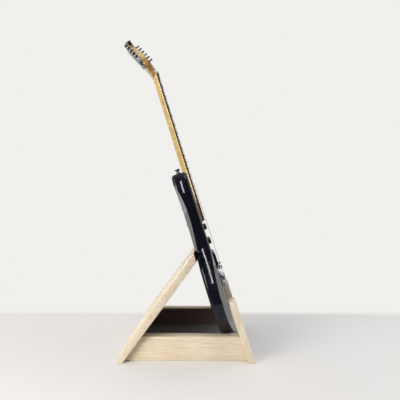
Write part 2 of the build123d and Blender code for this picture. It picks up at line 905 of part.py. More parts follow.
with BuildPart() as string_nut:
    with BuildSketch(guitar.offset(neck_top)):
        with Locations((0, nut_line + nut_thickness / 2)):
            Rectangle(nut_width, nut_thickness)
    extrude(amount=nut_height)
    for i in range(string_count):
        at_nut = string_offsets[i] * nut_spacing
        seat = nut_level - crown(at_nut) - string_radii[i] - nut_slot_gap
        slot = string_radii[i] * 2 + fit_gap * 8
        with BuildSketch(guitar.offset(seat)):
            with Locations((at_nut, nut_line + nut_thickness / 2)):
                Rectangle(slot, nut_thickness)
        extrude(amount=nut_height, mode=Mode.SUBTRACT)
        drop = nut_thickness * tan(radians(head_angle))
        with BuildSketch(guitar.offset(seat - drop)):
            with Locations((at_nut, nut_bend + nut_thickness / 2)):
                Rectangle(slot, nut_thickness)
        extrude(amount=nut_height, mode=Mode.SUBTRACT)
finish(string_nut, "string_nut")

with BuildPart() as strings:
    for i in range(string_count):
        with BuildLine() as run:
            FilletPolyline(*string_points(i), radius=string_bend)
        with BuildSketch(Plane(origin=run.line @ 0, z_dir=run.line % 0)):
            Circle(string_radii[i])
        sweep(path=run.line)
finish(strings, "strings")

# Neck plate and its screws
with BuildPart() as neck_plate:
    with BuildSketch(guitar.offset(back_face)):
        with Locations((0, plate_height)):
            RectangleRounded(*plate_size, ring_corner)
        with Locations(*plate_holes):
            Circle(neck_screw_radius + shaft_gap, mode=Mode.SUBTRACT)
    extrude(amount=-plate_thickness)
finish(neck_plate, "neck_plate")

back_facing = [
    Plane(origin=at(v, u, back_face - plate_thickness), x_dir=guitar.x_dir, z_dir=-guitar.z_dir)
    for v, u in plate_holes
]
with BuildPart() as neck_screws:
    with Locations(*back_facing):
        add(screw(neck_screw_head, plate_thickness, neck_screw_radius, neck_screw_length - fit_gap))
finish(neck_screws, "neck_screws")

# Tuners: bushings and housings are fixed, each post and each button turns
with BuildPart() as bushings:
    for plane in tuner_planes:
        seat = head_thickness + veneer_thickness
        with BuildSketch(plane.offset(seat)):
            RegularPolygon(flange_radius, 6)
        extrude(amount=flange_height)
        with BuildSketch(plane):
            Circle(bushing_radius)
        extrude(amount=seat)
        with BuildSketch(plane):
            Circle(post_radius + shaft_gap)
        extrude(amount=seat + flange_height, mode=Mode.SUBTRACT)
finish(bushings, "tuner_bushings")

worm_offset = gear_radius + worm_radius + fit_gap
with BuildPart() as housings:
    for plane in tuner_planes:
        with BuildSketch(plane):
            with Locations((housing_shift, 0)):
                RectangleRounded(housing_row, housing_across, housing_wall * 2)
        extrude(amount=-housing_depth)
        with BuildSketch(plane):
            with Locations((housing_shift, 0)):
                RectangleRounded(
                    housing_row - housing_wall * 2, housing_across - housing_wall * 2, housing_wall
                )
        extrude(amount=housing_wall - housing_depth, mode=Mode.SUBTRACT)
        bearing = Plane(
            origin=plane.from_local_coords((worm_offset, 0, gear_middle)), z_dir=plane.y_dir
        )
        with BuildSketch(bearing):
            Circle(tuner_shaft_radius + shaft_gap)
        extrude(amount=housing_across, mode=Mode.SUBTRACT)
finish(housings, "tuner_housings")

post_foot = housing_wall - housing_depth + housing_wall
for i, plane in enumerate(tuner_planes):
    with BuildPart() as post:
        top = head_thickness + post_height
        with BuildSketch(plane.offset(post_foot)):
            Circle(post_radius)
        extrude(amount=top - post_foot)
        chamfer(post.edges().sort_by(Axis(plane.origin, plane.z_dir))[-1], post_radius / 5)
        with BuildSketch(plane.offset(head_thickness + string_at_post - post_radius / 2)):
            Circle(post_radius)
            Circle(post_waist, mode=Mode.SUBTRACT)
        extrude(amount=post_radius, mode=Mode.SUBTRACT)
        with BuildSketch(plane.offset(gear_middle)):
            Circle(gear_radius)
        extrude(amount=gear_thickness / 2, both=True)
    finish(post, f"tuner_post_{i + 1}")

    shaft_line = Plane(
        origin=plane.from_local_coords((worm_offset, 0, gear_middle)),
        x_dir=plane.x_dir,
        z_dir=plane.y_dir,
    )
    with BuildPart() as button:
        flat = Plane(
            origin=shaft_line.from_local_coords((0, 0, button_start + button_length / 2)),
            x_dir=shaft_line.z_dir,
            z_dir=shaft_line.x_dir,
        )
        with BuildSketch(flat.offset(-button_thickness / 2)):
            Ellipse(button_length / 2, button_width / 2)
        extrude(amount=button_thickness)
        fillet(button.edges().filter_by(GeomType.ELLIPSE), button_round)
        with BuildSketch(shaft_line.offset(shaft_inner_end)):
            Circle(tuner_shaft_radius)
        extrude(amount=button_start + button_length / 2 - shaft_inner_end)
        with BuildSketch(shaft_line):
            Circle(worm_radius)
        extrude(amount=worm_length / 2, both=True)
        with BuildSketch(shaft_line.offset(housing_across / 2 + fit_gap)):
            Circle(collar_radius)
        extrude(amount=collar_length)
    finish(button, f"tuner_button_{i + 1}")

# Pickups
pole_places = [offset * saddle_spacing for offset in string_offsets]
for name, height in (("pickup_neck", neck_pickup_height), ("pickup_middle", middle_pickup_height)):
    with BuildPart() as pickup:
        with BuildSketch(spot(0, height, -single_route_depth)):
            RectangleRounded(*coil_base, ring_corner)
        extrude(amount=coil_base_thickness)
        with BuildSketch(spot(0, height, -single_route_depth)):
            SlotOverall(coil_width, coil_length)
        extrude(amount=single_route_depth + pickup_top)
        fillet(pickup.faces().sort_by(front_axis)[-1].edges(), button_round)
        with BuildSketch(spot(0, height, pickup_top)):
            for v in pole_places:
                with Locations((v, 0)):
                    Circle(pole_radius + shaft_gap)
        extrude(amount=-pole_depth, mode=Mode.SUBTRACT)
    finish(pickup, name)

coil_middle = humbucker_size[1] / 4
with BuildPart() as pickup_bridge:
    with BuildSketch(spot(0, bridge_pickup_height, -humbucker_base)):
        RectangleRounded(*humbucker_size, ring_corner)
    extrude(amount=humbucker_base + pickup_top)
    with BuildSketch(spot(0, bridge_pickup_height, pickup_top)):
        Rectangle(humbucker_size[0], humbucker_groove)
        for v in pole_places:
            with Locations((v, coil_middle), (v, -coil_middle)):
                Circle(pole_radius + shaft_gap)
    extrude(amount=-groove_depth, mode=Mode.SUBTRACT)
finish(pickup_bridge, "pickup_bridge")

with BuildPart() as ring:
    with BuildSketch(spot(0, bridge_pickup_height, 0)):
        RectangleRounded(*ring_size, ring_corner)
        RectangleRounded(
            humbucker_size[0] + fit_gap * 4, humbucker_size[1] + fit_gap * 4,
            ring_corner + fit_gap * 2, mode=Mode.SUBTRACT,
        )
    extrude(amount=ring_height)
    with BuildSketch(guitar.offset(ring_height)):
        with Locations(*ring_screw_places):
            Circle(small_screw_radius + shaft_gap)
    extrude(amount=-ring_height, mode=Mode.SUBTRACT)
finish(ring, "pickup_ring")

pole_spots = [(v, height) for height in single_heights for v in pole_places]
pole_spots += [(v, bridge_pickup_height + y * coil_middle) for y in (-1, 1) for v in pole_places]
with BuildPart() as pole_pieces:
    with BuildSketch(guitar.offset(pickup_top + pole_proud)):
        with Locations(*pole_spots):
            Circle(pole_radius)
    extrude(amount=-pole_depth - pole_proud)
finish(pole_pieces, "pickup_pole_pieces")

# Bridge: plate with a rear wall, six saddles and their screws
with BuildPart() as bridge_plate:
    with BuildSketch(guitar):
        with Locations((0, (bridge_front + bridge_rear) / 2)):
            RectangleRounded(bridge_width, bridge_front - bridge_rear, bridge_wall)
    extrude(amount=bridge_plate_thickness)
    with BuildSketch(guitar):
        with Locations((0, bridge_rear + bridge_wall / 2)):
            Rectangle(bridge_width, bridge_wall)
    extrude(amount=bridge_wall_height)
    with BuildSketch(guitar):
        with Locations(*bridge_screw_places):
            Circle(bridge_screw_radius + shaft_gap)
    extrude(amount=bridge_plate_thickness, mode=Mode.SUBTRACT)
    with BuildSketch(section(bridge_rear + bridge_wall)):
        for i, v in enumerate(pole_places):
            with Locations((v, string_anchor)):
                Circle(string_radii[i] + string_hole_gap)
            with Locations((v, intonation_level)):
                Circle(intonation_radius + shaft_gap)
    extrude(amount=bridge_wall * 2, mode=Mode.SUBTRACT)
finish(bridge_plate, "bridge_plate")

saddle_rear = saddle_height - saddle_length / 2
saddle_front = saddle_height + saddle_length / 2
with BuildPart() as saddles:
    for v in pole_places:
        with BuildSketch(side(v)):
            with BuildLine():
                Polyline(
                    (saddle_rear, saddle_floor),
                    (saddle_front, saddle_floor),
                    (saddle_front, saddle_front_top),
                    (saddle_height, saddle_peak),
                    (saddle_rear, saddle_rear_top),
                    close=True,
                )
            make_face()
        extrude(amount=saddle_width / 2, both=True)
        with BuildSketch(section(intonation_end)):
            with Locations((v, intonation_level)):
                Circle(intonation_radius + shaft_gap)
        extrude(amount=saddle_length, mode=Mode.SUBTRACT)
        with BuildSketch(guitar):
            with Locations(
                (v - height_screw_offset, saddle_height + height_screw_forward),
                (v + height_screw_offset, saddle_height + height_screw_forward),
            ):
                Circle(height_screw_radius + shaft_gap)
        extrude(amount=bridge_wall_height * 2, mode=Mode.SUBTRACT)
finish(saddles, "bridge_saddles")

with BuildPart() as height_screws:
    with BuildSketch(guitar.offset(bridge_plate_thickness)):
        for v in pole_places:
            with Locations(
                (v - height_screw_offset, saddle_height + height_screw_forward),
                (v + height_screw_offset, saddle_height + height_screw_forward),
            ):
                Circle(height_screw_radius)
    extrude(amount=height_screw_top - bridge_plate_thickness)
finish(height_screws, "saddle_height_screws")

with BuildPart() as intonation_screws:
    rear_seats = [
        Plane(origin=at(v, bridge_rear, intonation_level), x_dir=guitar.x_dir, z_dir=-guitar.y_dir)
        for v in pole_places
    ]
    with Locations(*rear_seats):
        add(screw(
            intonation_head, intonation_head_height, intonation_radius,
            intonation_end - bridge_rear - fit_gap,
        ))
finish(intonation_screws, "intonation_screws")

with BuildPart() as bridge_screws:
    with Locations(*[spot(v, u, bridge_plate_thickness) for v, u in bridge_screw_places]):
        add(screw(
            bridge_screw_head, small_screw_head_height, bridge_screw_radius,
            bridge_screw_length + bridge_plate_thickness - fit_gap,
        ))
finish(bridge_screws, "bridge_screws")

# Controls: two potentiometers, their shafts and knobs
with BuildPart() as pots:
    for v, u in controls:
        with BuildSketch(spot(v, u, cavity_floor)):
            Circle(pot_radius)
        extrude(amount=-pot_depth)
        with BuildSketch(spot(v, u, cavity_floor)):
            Circle(bush_radius)
        extrude(amount=top_wall + bush_height)
        with BuildSketch(spot(v, u, bush_height)):
            Circle(shaft_radius + shaft_gap)
        extrude(amount=-bush_height - top_wall - pot_depth / 2, mode=Mode.SUBTRACT)
finish(pots, "potentiometers")

knob_low = knob_gap
for name, place in (("volume", volume_place), ("tone", tone_place)):
    with BuildPart() as shaft:
        with BuildSketch(spot(*place, cavity_floor - pot_depth / 2 + fit_gap)):
            Circle(shaft_radius)
        extrude(amount=shaft_top - cavity_floor + pot_depth / 2 - fit_gap)
    finish(shaft, f"{name}_shaft")

    with BuildPart() as knob:
        with BuildSketch(spot(*place, knob_low)):
            Circle(knob_radius)
        with BuildSketch(spot(*place, knob_low + knob_height)):
            Circle(knob_top_radius)
        loft()
        fillet(knob.faces().sort_by(front_axis)[-1].edges(), pole_proud * 2)
        with BuildSketch(spot(*place, knob_low)):
            Circle(knob_recess_radius)
        extrude(amount=knob_recess_height, mode=Mode.SUBTRACT)
        with BuildSketch(spot(*place, knob_low)):
            Circle(shaft_radius)
        extrude(amount=shaft_top - knob_low, mode=Mode.SUBTRACT)
    finish(knob, f"{name}_knob")

# Output jack in the treble rim, behind a round plate
jack_face = jack_seat.offset(jack_plate_proud)
with BuildPart() as jack_plate:
    with BuildSketch(jack_face):
        Circle(jack_plate_radius)
        Circle(jack_bush_radius + fit_gap, mode=Mode.SUBTRACT)
    extrude(amount=-jack_plate_thickness)
finish(jack_plate, "jack_plate")

with BuildPart() as jack:
    with BuildSketch(jack_face.offset(-jack_plate_thickness)):
        Circle(jack_body_radius)
    extrude(amount=-jack_body_length)
    with BuildSketch(jack_face.offset(-jack_plate_thickness)):
        Circle(jack_bush_radius)
    extrude(amount=jack_plate_thickness + jack_bush_proud)
    with BuildSketch(jack_face.offset(jack_bush_proud)):
        Circle(jack_bore_radius)
    extrude(amount=-jack_bore_depth, mode=Mode.SUBTRACT)
finish(jack, "output_jack")

nut_seats = [(spot(*place, 0), bush_radius) for place in controls]
nut_seats.append((jack_face, jack_bush_radius))
with BuildPart() as control_nuts:
    for seat, bore in nut_seats:
        with BuildSketch(seat):
            RegularPolygon(nut_ring_radius, 6)
            Circle(bore + shaft_gap, mode=Mode.SUBTRACT)
        extrude(amount=nut_ring_height)
finish(control_nuts, "control_nuts")

# Selector: a frame under the top with a lever that rocks on its pin
lever_plane = Plane(
    origin=at(lever_place[0], lever_place[1], lever_pivot), x_dir=guitar.y_dir, z_dir=guitar.x_dir
)
with BuildPart() as selector_switch:
    with BuildSketch(spot(*lever_place, cavity_floor)):
        Rectangle(switch_width, switch_length)
        Rectangle(lever_thickness + slot_gap * 2, switch_length - switch_width, mode=Mode.SUBTRACT)
    extrude(amount=-switch_depth)
    with BuildSketch(lever_plane):
        Circle(lever_pin_radius + shaft_gap)
    extrude(amount=switch_width, both=True, mode=Mode.SUBTRACT)
    with BuildSketch(guitar.offset(cavity_floor)):
        with Locations(*switch_screw_places):
            Circle(small_screw_radius + shaft_gap)
    extrude(amount=-small_screw_length, mode=Mode.SUBTRACT)
finish(selector_switch, "selector_switch")

with BuildPart() as lever:
    with BuildSketch(lever_plane):
        SlotOverall(lever_width * 2, lever_width, rotation=90)
        with Locations((0, (lever_top - lever_pivot) / 2)):
            Rectangle(lever_width, lever_top - lever_pivot)
    extrude(amount=lever_thickness / 2, both=True)
    with BuildSketch(lever_plane):
        Circle(lever_pin_radius)
    extrude(amount=switch_width / 2 - fit_gap, both=True)
    with BuildSketch(spot(*lever_place, lever_top - lever_width / 2)):
        Circle(tip_radius * 0.8)
    with BuildSketch(spot(*lever_place, lever_top - lever_width / 2 + tip_height)):
        Circle(tip_radius)
    loft()
    fillet(lever.faces().sort_by(front_axis)[-1].edges(), tip_radius * 0.5)
finish(lever, "selector_lever")

# Rear cover and the small screws that hold cover, ring and switch
with BuildPart() as control_cover:
    with BuildSketch(guitar.offset(back_face)):
        with Locations(cavity_middle):
            RectangleRounded(
                cavity_size[0] + cover_lip * 2, cavity_size[1] + cover_lip * 2,
                cavity_corner + cover_lip,
            )
        with Locations(*cover_screw_places):
            Circle(small_screw_radius + shaft_gap, mode=Mode.SUBTRACT)
    extrude(amount=cover_thickness)
    with BuildSketch(guitar.offset(back_face)):
        with Locations(*cover_screw_places):
            Circle(small_screw_head + fit_gap)
    extrude(amount=cover_screw_sink, mode=Mode.SUBTRACT)
finish(control_cover, "control_cover")

small_screw = screw(
    small_screw_head, small_screw_head_height, small_screw_radius, small_screw_length
)
small_seats = [spot(v, u, ring_height) for v, u in ring_screw_places]
small_seats += [spot(v, u, 0) for v, u in switch_screw_places]
small_seats += [
    Plane(origin=at(v, u, back_face + cover_screw_sink), x_dir=guitar.x_dir, z_dir=-guitar.z_dir)
    for v, u in cover_screw_places
]
with BuildPart() as small_screws:
    with Locations(*small_seats):
        add(small_screw)
finish(small_screws, "small_screws")

# Strap buttons on the bottom and on the horn
with BuildPart() as strap_buttons:
    for seat in strap_seats:
        profile = Plane(
            origin=seat.from_local_coords((0, 0, -strap_recess)),
            x_dir=seat.x_dir,
            z_dir=seat.y_dir * -1,
        )
        with BuildSketch(profile):
            with BuildLine():
                Polyline(
                    (strap_screw_radius + shaft_gap, 0),
                    (strap_base_radius, 0),
                    (strap_base_radius, strap_recess),
                    (strap_waist_radius, strap_length * 0.45),
                    (strap_waist_radius, strap_length * 0.6),
                    (strap_rim_radius, strap_length * 0.85),
                    (strap_rim_radius, strap_length),
                    (strap_screw_radius + shaft_gap, strap_length),
                    close=True,
                )
            make_face()
        revolve(axis=Axis(seat.origin, seat.z_dir))
finish(strap_buttons, "strap_buttons")

with BuildPart() as strap_screws:
    with Locations(*[seat.offset(strap_length - strap_recess) for seat in strap_seats]):
        add(screw(
            strap_screw_head, small_screw_head_height, strap_screw_radius,
            strap_screw_length + strap_length - strap_recess - fit_gap,
        ))
finish(strap_screws, "strap_button_screws")
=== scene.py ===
import json
import math

import bmesh
import bpy
from mathutils import Matrix, Vector


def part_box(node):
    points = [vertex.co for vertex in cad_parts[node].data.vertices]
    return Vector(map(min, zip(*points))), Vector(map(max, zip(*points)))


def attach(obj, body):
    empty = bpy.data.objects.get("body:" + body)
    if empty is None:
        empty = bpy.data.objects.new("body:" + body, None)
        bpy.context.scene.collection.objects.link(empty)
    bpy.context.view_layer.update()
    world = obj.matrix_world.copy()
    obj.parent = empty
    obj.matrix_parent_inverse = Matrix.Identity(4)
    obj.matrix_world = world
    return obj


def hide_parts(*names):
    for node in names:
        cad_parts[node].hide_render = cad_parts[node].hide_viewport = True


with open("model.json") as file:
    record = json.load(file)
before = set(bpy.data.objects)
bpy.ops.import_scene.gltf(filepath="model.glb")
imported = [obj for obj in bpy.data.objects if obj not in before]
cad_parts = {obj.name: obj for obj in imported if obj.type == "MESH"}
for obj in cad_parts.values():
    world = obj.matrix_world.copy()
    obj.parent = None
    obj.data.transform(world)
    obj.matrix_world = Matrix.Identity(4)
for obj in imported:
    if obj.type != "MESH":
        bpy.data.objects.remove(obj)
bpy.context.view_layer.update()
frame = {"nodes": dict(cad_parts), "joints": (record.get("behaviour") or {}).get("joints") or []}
nodes = frame["nodes"]
joints = {joint["name"]: joint for joint in frame["joints"]}
scene = bpy.context.scene

# The guitar's own directions, from its lean in the stand
LEAN = math.radians(17.7)
BACK_LEAN = math.radians(36.6)
ACROSS = Vector((0.0, 1.0, 0.0))
UP_NECK = Vector((-math.sin(LEAN), 0.0, math.cos(LEAN)))
OUT_FRONT = Vector((math.cos(LEAN), 0.0, math.sin(LEAN)))


def pivot(joint_name):
    """The point that a joint turns round."""
    return Vector(joints[joint_name]["pos_m"])


def corners_of(node_name):
    """The lowest and the highest corner of a node, to the micrometre."""
    return [[round(c, 6) for c in corner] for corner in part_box(node_name)]


def facing(place, x_dir, z_dir):
    """Placing matrix with its Z along z_dir and its X along x_dir."""
    y_dir = z_dir.cross(x_dir)
    return Matrix.Translation(place) @ Matrix((x_dir, y_dir, z_dir)).transposed().to_4x4()


# Camera
camera_data = bpy.data.cameras.new("camera")
camera = bpy.data.objects.new("camera", camera_data)
scene.collection.objects.link(camera)
camera_data.lens = 27.7
camera_data.sensor_width = 36.0
camera_data.clip_start = 0.01
camera.location = (0.042, -0.9385, 0.358)
camera.rotation_euler = (math.radians(93.43), 0.0, math.radians(0.37))
scene.camera = camera
scene.view_settings.view_transform = "Standard"


# Materials
def start(name):
    """A new node material: its tree, its shader and the piece's own coordinates."""
    mat = bpy.data.materials.new(name)
    mat.use_nodes = True
    tree = mat.node_tree
    shader = tree.nodes["Principled BSDF"]
    coords = tree.nodes.new("ShaderNodeTexCoord")
    return mat, tree, shader, coords.outputs["Object"]


def turned(tree, source, rotation=(0, 0, 0), scale=(1, 1, 1)):
    """Coordinates turned and then stretched, so that a grain can run one way."""
    mapping = tree.nodes.new("ShaderNodeMapping")
    mapping.inputs["Rotation"].default_value = rotation
    mapping.inputs["Scale"].default_value = scale
    tree.links.new(source, mapping.inputs["Vector"])
    return mapping.outputs["Vector"]


def noise(tree, source, scale, detail=4.0, roughness=0.6, distortion=0.0):
    """A cloudy pattern from 0 to 1."""
    node = tree.nodes.new("ShaderNodeTexNoise")
    node.inputs["Scale"].default_value = scale
    node.inputs["Detail"].default_value = detail
    node.inputs["Roughness"].default_value = roughness
    node.inputs["Distortion"].default_value = distortion
    tree.links.new(source, node.inputs["Vector"])
    return node.outputs["Fac"]


def ramp(tree, source, stops):
    """Colours a pattern by stops of place and colour."""
    node = tree.nodes.new("ShaderNodeValToRGB")
    bar = node.color_ramp
    while len(bar.elements) < len(stops):
        bar.elements.new(0.5)
    for element, (place, colour) in zip(bar.elements, stops):
        element.position = place
        element.color = (*colour, 1.0)
    tree.links.new(source, node.inputs["Fac"])
    return node.outputs["Color"]


def spread(tree, source, low, high):
    """Turns a 0 to 1 pattern into the range low to high."""
    node = tree.nodes.new("ShaderNodeMapRange")
    node.inputs["To Min"].default_value = low
    node.inputs["To Max"].default_value = high
    tree.links.new(source, node.inputs["Value"])
    return node.outputs["Result"]


def over(tree, base, top, share):
    """A colour multiplied by another one, as far as the share says."""
    node = tree.nodes.new("ShaderNodeMix")
    node.data_type = "RGBA"
    node.blend_type = "MULTIPLY"
    node.inputs["Factor"].default_value = share
    tree.links.new(base, node.inputs["A"])
    tree.links.new(top, node.inputs["B"])
    return node.outputs["Result"]


def relief(tree, shader, source, strength, distance):
    """Fine surface relief from a pattern."""
    bump = tree.nodes.new("ShaderNodeBump")
    bump.inputs["Strength"].default_value = strength
    bump.inputs["Distance"].default_value = distance
    tree.links.new(source, bump.inputs["Height"])
    tree.links.new(bump.outputs["Normal"], shader.inputs["Normal"])


def pine(name, rotation, scale):
    """Bare sanded pine: soft growth bands, fine fibres and slightly darker patches."""
    mat, tree, shader, place = start(name)
    grain = turned(tree, place, rotation, scale)
    bands = noise(tree, grain, 1.0, 3.0, 0.55, 1.2)
    fibres = noise(tree, turned(tree, place, rotation, tuple(s * 7 for s in scale)), 1.0, 5.0, 0.7)
    drift = noise(tree, place, 9.0, 2.0)
    wood = ramp(tree, bands, [
        (0.30, (0.72, 0.58, 0.40)), (0.47, (0.87, 0.78, 0.63)),
        (0.55, (0.79, 0.67, 0.50)), (0.66, (0.89, 0.81, 0.67)),
    ])
    streaks = ramp(tree, fibres, [(0.32, (0.82, 0.76, 0.68)), (0.62, (1.0, 1.0, 1.0))])
    patches = ramp(tree, drift, [(0.35, (0.93, 0.90, 0.86)), (0.65, (1.0, 1.0, 1.0))])
    colour = over(tree, over(tree, wood, streaks, 0.8), patches, 1.0)
    tree.links.new(colour, shader.inputs["Base Color"])
    tree.links.new(spread(tree, fibres, 0.50, 0.74), shader.inputs["Roughness"])
    relief(tree, shader, fibres, 0.22, 0.0006)
    return mat


def lacquer(name, deep, worn):
    """Thick gloss over a near-black colour, with faint wipe marks."""
    mat, tree, shader, place = start(name)
    cloud = noise(tree, place, 14.0, 3.0)
    smear = noise(tree, turned(tree, place, (0.3, 0.2, 0.5), (9, 40, 22)), 1.0, 4.0)
    colour = ramp(tree, cloud, [(0.35, deep), (0.68, worn)])
    tree.links.new(colour, shader.inputs["Base Color"])
    tree.links.new(spread(tree, smear, 0.010, 0.045), shader.inputs["Roughness"])
    shader.inputs["Specular IOR Level"].default_value = 0.27
    return mat


def amber_maple():
    """Tinted gloss maple: grain up the neck, a faint flame across it and a head darker by height.

    Painted shade gives a red-brown band where the head bends back; near-black at its tip.
    """
    mat, tree, shader, place = start("amber_maple")
    along = turned(tree, place, (0, LEAN, 0), (120, 120, 7))
    grain = noise(tree, along, 1.0, 5.0, 0.62, 0.8)
    flame = noise(tree, turned(tree, place, (0.25, LEAN, 0), (9, 9, 70)), 1.0, 2.0, 0.5, 1.5)
    wood = ramp(tree, grain, [
        (0.28, (0.46, 0.27, 0.058)), (0.5, (0.60, 0.385, 0.108)), (0.72, (0.67, 0.465, 0.160)),
    ])
    shimmer = ramp(tree, flame, [(0.38, (0.80, 0.74, 0.66)), (0.60, (1.0, 1.0, 1.0))])
    heights = tree.nodes.new("ShaderNodeSeparateXYZ")
    tree.links.new(place, heights.inputs["Vector"])
    # painted shade: a red-brown band where the head bends back, then near-black towards the tip
    head_shade_and_dark_tip = ramp(tree, heights.outputs["Z"], [
        (0.795, (1.0, 1.0, 1.0)), (0.822, (0.70, 0.54, 0.44)),
        (0.838, (0.73, 0.57, 0.47)), (0.856, (1.0, 1.0, 1.0)),
        (0.904, (0.94, 0.90, 0.86)), (0.918, (0.06, 0.05, 0.05)),
    ])
    wood = over(tree, wood, head_shade_and_dark_tip, 1.0)
    tree.links.new(over(tree, wood, shimmer, 0.75), shader.inputs["Base Color"])
    tree.links.new(spread(tree, grain, 0.20, 0.34), shader.inputs["Roughness"])
    shader.inputs["Coat Weight"].default_value = 0.6
    shader.inputs["Coat Roughness"].default_value = 0.06
    relief(tree, shader, grain, 0.05, 0.0003)
    return mat


def rosewood():
    """Oiled dark wood with open pores along the strings."""
    mat, tree, shader, place = start("dark_fretboard_wood")
    along = turned(tree, place, (0, LEAN, 0), (330, 330, 14))
    pores = noise(tree, along, 1.0, 4.0, 0.7)
    tone = noise(tree, turned(tree, place, (0, LEAN, 0), (60, 60, 5)), 1.0, 3.0)
    wood = ramp(tree, tone, [(0.32, (0.030, 0.017, 0.011)), (0.68, (0.085, 0.048, 0.028))])
    holes = ramp(tree, pores, [(0.36, (0.45, 0.40, 0.36)), (0.5, (1.0, 1.0, 1.0))])
    tree.links.new(over(tree, wood, holes, 0.9), shader.inputs["Base Color"])
    tree.links.new(spread(tree, pores, 0.62, 0.42), shader.inputs["Roughness"])
    relief(tree, shader, pores, 0.25, 0.0004)
    return mat


def metal(name, colour, low, high, scratch=(180, 180, 180)):
    """Plated or bare metal with fine handling marks."""
    mat, tree, shader, place = start(name)
    shader.inputs["Metallic"].default_value = 1.0
    marks = noise(tree, turned(tree, place, (0.4, 0.7, 0.2), scratch), 1.0, 5.0, 0.65)
    dull = tuple(c * 0.82 for c in colour)
    tree.links.new(ramp(tree, marks, [(0.3, dull), (0.62, colour)]), shader.inputs["Base Color"])
    tree.links.new(spread(tree, marks, high, low), shader.inputs["Roughness"])
    return mat


def moulded(name, colour, low, high):
    """Moulded plastic: a fine even texture and faint scuffs."""
    mat, tree, shader, place = start(name)
    scuffs = noise(tree, place, 90.0, 4.0, 0.7)
    light = tuple(min(1.0, c * 1.35 + 0.004) for c in colour)
    tree.links.new(ramp(tree, scuffs, [(0.35, colour), (0.72, light)]), shader.inputs["Base Color"])
    tree.links.new(spread(tree, scuffs, low, high), shader.inputs["Roughness"])
    relief(tree, shader, noise(tree, place, 900.0, 2.0), 0.05, 0.0002)
    return mat


def felted(name, dark, light):
    """Pressed wool felt: matted fibres that catch light at the edges."""
    mat, tree, shader, place = start(name)
    mat_fibres = noise(tree, place, 700.0, 6.0, 0.8)
    lint = noise(tree, place, 160.0, 5.0, 0.75)
    wool = ramp(tree, mat_fibres, [(0.32, dark), (0.7, light)])
    specks = ramp(tree, lint, [(0.62, (0.75, 0.75, 0.75)), (0.78, (1.0, 1.0, 1.0))])
    tree.links.new(over(tree, wool, specks, 0.8), shader.inputs["Base Color"])
    shader.inputs["Roughness"].default_value = 0.96
    shader.inputs["Sheen Weight"].default_value = 0.35
    shader.inputs["Sheen Roughness"].default_value = 0.6
    relief(tree, shader, mat_fibres, 0.55, 0.0008)
    return mat


def hide():
    """Dark brown leather with a pebbled grain, paler where it is rubbed."""
    mat, tree, shader, place = start("brown_leather")
    cells = tree.nodes.new("ShaderNodeTexVoronoi")
    cells.inputs["Scale"].default_value = 520.0
    tree.links.new(place, cells.inputs["Vector"])
    rub = noise(tree, place, 38.0, 4.0)
    # Painted light: the leather is paler than its own dark brown, in place of light on the shaded
    # pad
    skin = ramp(tree, rub, [(0.34, (0.105, 0.052, 0.034)), (0.70, (0.270, 0.142, 0.090))])
    tree.links.new(skin, shader.inputs["Base Color"])
    tree.links.new(spread(tree, rub, 0.62, 0.42), shader.inputs["Roughness"])
    relief(tree, shader, cells.outputs["Distance"], 0.35, 0.0005)
    return mat


def wound_steel():
    """String wire, ribbed finely along its length."""
    mat, tree, shader, place = start("string_wire")
    shader.inputs["Metallic"].default_value = 1.0
    ribs = tree.nodes.new("ShaderNodeTexWave")
    ribs.bands_direction = "Z"
    ribs.inputs["Scale"].default_value = 520.0
    tree.links.new(turned(tree, place, (0, LEAN, 0)), ribs.inputs["Vector"])
    tone = ramp(tree, ribs.outputs["Fac"], [(0.0, (0.42, 0.40, 0.37)), (1.0, (0.78, 0.76, 0.72))])
    tree.links.new(tone, shader.inputs["Base Color"])
    shader.inputs["Roughness"].default_value = 0.3
    relief(tree, shader, ribs.outputs["Fac"], 0.3, 0.0002)
    return mat


pine_x = pine("pine_along_rail", (0, 0, 0), (3.0, 55.0, 55.0))
pine_y = pine("pine_across_board", (0, 0, 0), (55.0, 3.0, 55.0))
pine_up = pine("pine_up_upright", (0, LEAN, 0), (55.0, 55.0, 3.0))
navy = lacquer("navy_lacquer", (0.004, 0.0046, 0.009), (0.008, 0.0092, 0.017))
dark_face = lacquer("dark_head_lacquer", (0.008, 0.008, 0.010), (0.016, 0.016, 0.020))
maple = amber_maple()
board_wood = rosewood()
chrome = metal("bright_plate", (0.80, 0.81, 0.83), 0.05, 0.16)
nickel = metal("nickel_wire", (0.72, 0.70, 0.66), 0.14, 0.30)
tuner_metal = metal("tuner_metal", (0.46, 0.45, 0.47), 0.10, 0.24)
smoked_nickel = metal("smoked_nickel", (0.15, 0.15, 0.16), 0.18, 0.34)
steel = metal("plain_steel", (0.56, 0.56, 0.57), 0.24, 0.42, (30, 260, 260))
black_plastic = moulded("black_plastic", (0.012, 0.012, 0.013), 0.22, 0.40)
pearl = moulded("pearl_inlay", (0.72, 0.72, 0.69), 0.18, 0.30)
bone = moulded("aged_bone", (0.30, 0.24, 0.15), 0.32, 0.46)
# Painted light: the grey and brown felts are paler than real felt, in place of light the shaded
# tray lacks
grey_felt = felted("grey_felt", (0.085, 0.085, 0.086), (0.215, 0.212, 0.215))
brown_felt = felted("brown_felt", (0.215, 0.146, 0.128), (0.410, 0.292, 0.256))
pale_felt = felted("undyed_felt", (0.40, 0.36, 0.29), (0.66, 0.61, 0.52))
leather = hide()
wire = wound_steel()

